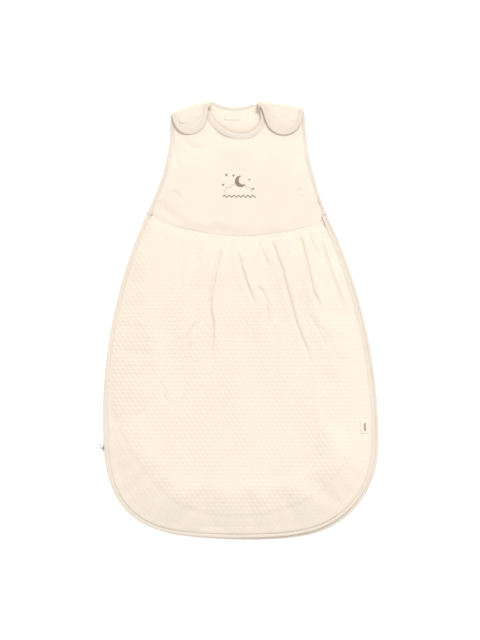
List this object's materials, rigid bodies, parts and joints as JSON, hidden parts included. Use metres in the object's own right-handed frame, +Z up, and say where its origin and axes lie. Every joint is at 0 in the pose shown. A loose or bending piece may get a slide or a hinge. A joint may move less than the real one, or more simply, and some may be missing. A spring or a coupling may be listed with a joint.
{
  "type": "baby sleeping bag",
  "caption": "Padded sleeveless baby sleeping bag lying flat: jersey bodice, quilted gathered skirt, folded popper shoulder tabs and a zip down one side.",
  "frame": {"origin": "Middle of the bag's outline, on the surface that it lies on.", "axes": "+X to the right as one looks down on the front, +Y along the bag towards the head, +Z up, out of the front."},
  "size_m": [0.4448, 0.6988, 0.0286],
  "materials": {
    "plain_jersey": "matt cotton jersey, cream",
    "quilted_jersey": "matt quilted cotton, cream",
    "lining_jersey": "matt cotton jersey, cream",
    "binding_jersey": "matt ribbed cotton, cream",
    "wadding": "soft polyester fibre, white",
    "zip_tape": "woven tape, cream",
    "zip_nylon": "nylon teeth, cream",
    "zip_metal": "satin grey",
    "popper_cap": "cream, satin",
    "popper_metal": "nickel",
    "label_ribbon": "woven ribbon, cream",
    "embroidery": "taupe embroidery thread"
  },
  "bodies": {
    "bag": {"back_edge_binding": "binding_jersey", "back_lining": "lining_jersey", "back_neck_binding": "binding_jersey", "back_skirt_outer": "quilted_jersey", "back_wadding": "wadding", "back_yoke_outer": "plain_jersey", "chest_motif": "embroidery", "front_edge_binding": "binding_jersey", "front_lining": "lining_jersey", "front_neck_binding": "binding_jersey", "front_skirt_outer": "quilted_jersey", "front_wadding": "wadding", "front_yoke_outer": "plain_jersey", "left_back_armhole_binding": "binding_jersey", "left_front_armhole_binding": "binding_jersey", "left_inner_popper_post": "popper_cap", "left_inner_popper_stud": "popper_metal", "left_outer_popper_post": "popper_cap", "left_outer_popper_stud": "popper_metal", "left_shoulder_fold": "plain_jersey", "left_underarm_popper_cap": "popper_cap", "left_underarm_popper_socket": "popper_metal", "left_underarm_popper_stud": "popper_metal", "neck_label": "label_ribbon", "right_back_armhole_binding": "binding_jersey", "right_front_armhole_binding": "binding_jersey", "right_inner_popper_post": "popper_cap", "right_inner_popper_stud": "popper_metal", "right_outer_popper_post": "popper_cap", "right_outer_popper_stud": "popper_metal", "right_shoulder_fold": "plain_jersey", "right_underarm_popper_cap": "popper_cap", "right_underarm_popper_socket": "popper_metal", "right_underarm_popper_stud": "popper_metal", "side_label": "label_ribbon", "zip_bottom_stop": "zip_metal", "zip_garage": "binding_jersey", "zip_tape_back": "zip_tape", "zip_tape_front": "zip_tape", "zip_teeth_back": "zip_nylon", "zip_teeth_front": "zip_nylon", "zip_top_stop": "zip_metal"},
    "left_tab": {"left_inner_popper_cap": "popper_cap", "left_inner_popper_socket": "popper_metal", "left_outer_popper_cap": "popper_cap", "left_outer_popper_socket": "popper_metal", "left_tab_binding": "binding_jersey", "left_tab_facing": "lining_jersey", "left_tab_outer": "plain_jersey"},
    "right_tab": {"right_inner_popper_cap": "popper_cap", "right_inner_popper_socket": "popper_metal", "right_outer_popper_cap": "popper_cap", "right_outer_popper_socket": "popper_metal", "right_tab_binding": "binding_jersey", "right_tab_facing": "lining_jersey", "right_tab_outer": "plain_jersey"},
    "zip_slider": {"zip_slider": "zip_metal"},
    "zip_pull": {"zip_pull": "zip_metal"}
  },
  "joints": [
    {"name": "left_tab_fold", "type": "hinge", "parent": "bag", "child": "left_tab", "pos_m": [-0.08248, 0.34337, 0.00955], "axis": [-0.9564, -0.2921, 0], "range_deg": [0, 175], "deforming": ["left_shoulder_fold"]},
    {"name": "right_tab_fold", "type": "hinge", "parent": "bag", "child": "right_tab", "pos_m": [0.06348, 0.34696, 0.00955], "axis": [-0.9871, 0.1601, 0], "range_deg": [0, 175], "deforming": ["right_shoulder_fold"]},
    {"name": "zip_slider_travel", "type": "hinge", "parent": "bag", "child": "zip_slider", "pos_m": [0.565, -0.152, 0.00895], "axis": [0, 0, -1], "range_deg": [0, 24.9]},
    {"name": "zip_pull_swing", "type": "hinge", "parent": "zip_slider", "child": "zip_pull", "pos_m": [-0.22173, -0.20322, 0.00895], "axis": [0, 0, 1], "range_deg": [-23, 150]}
  ]
}
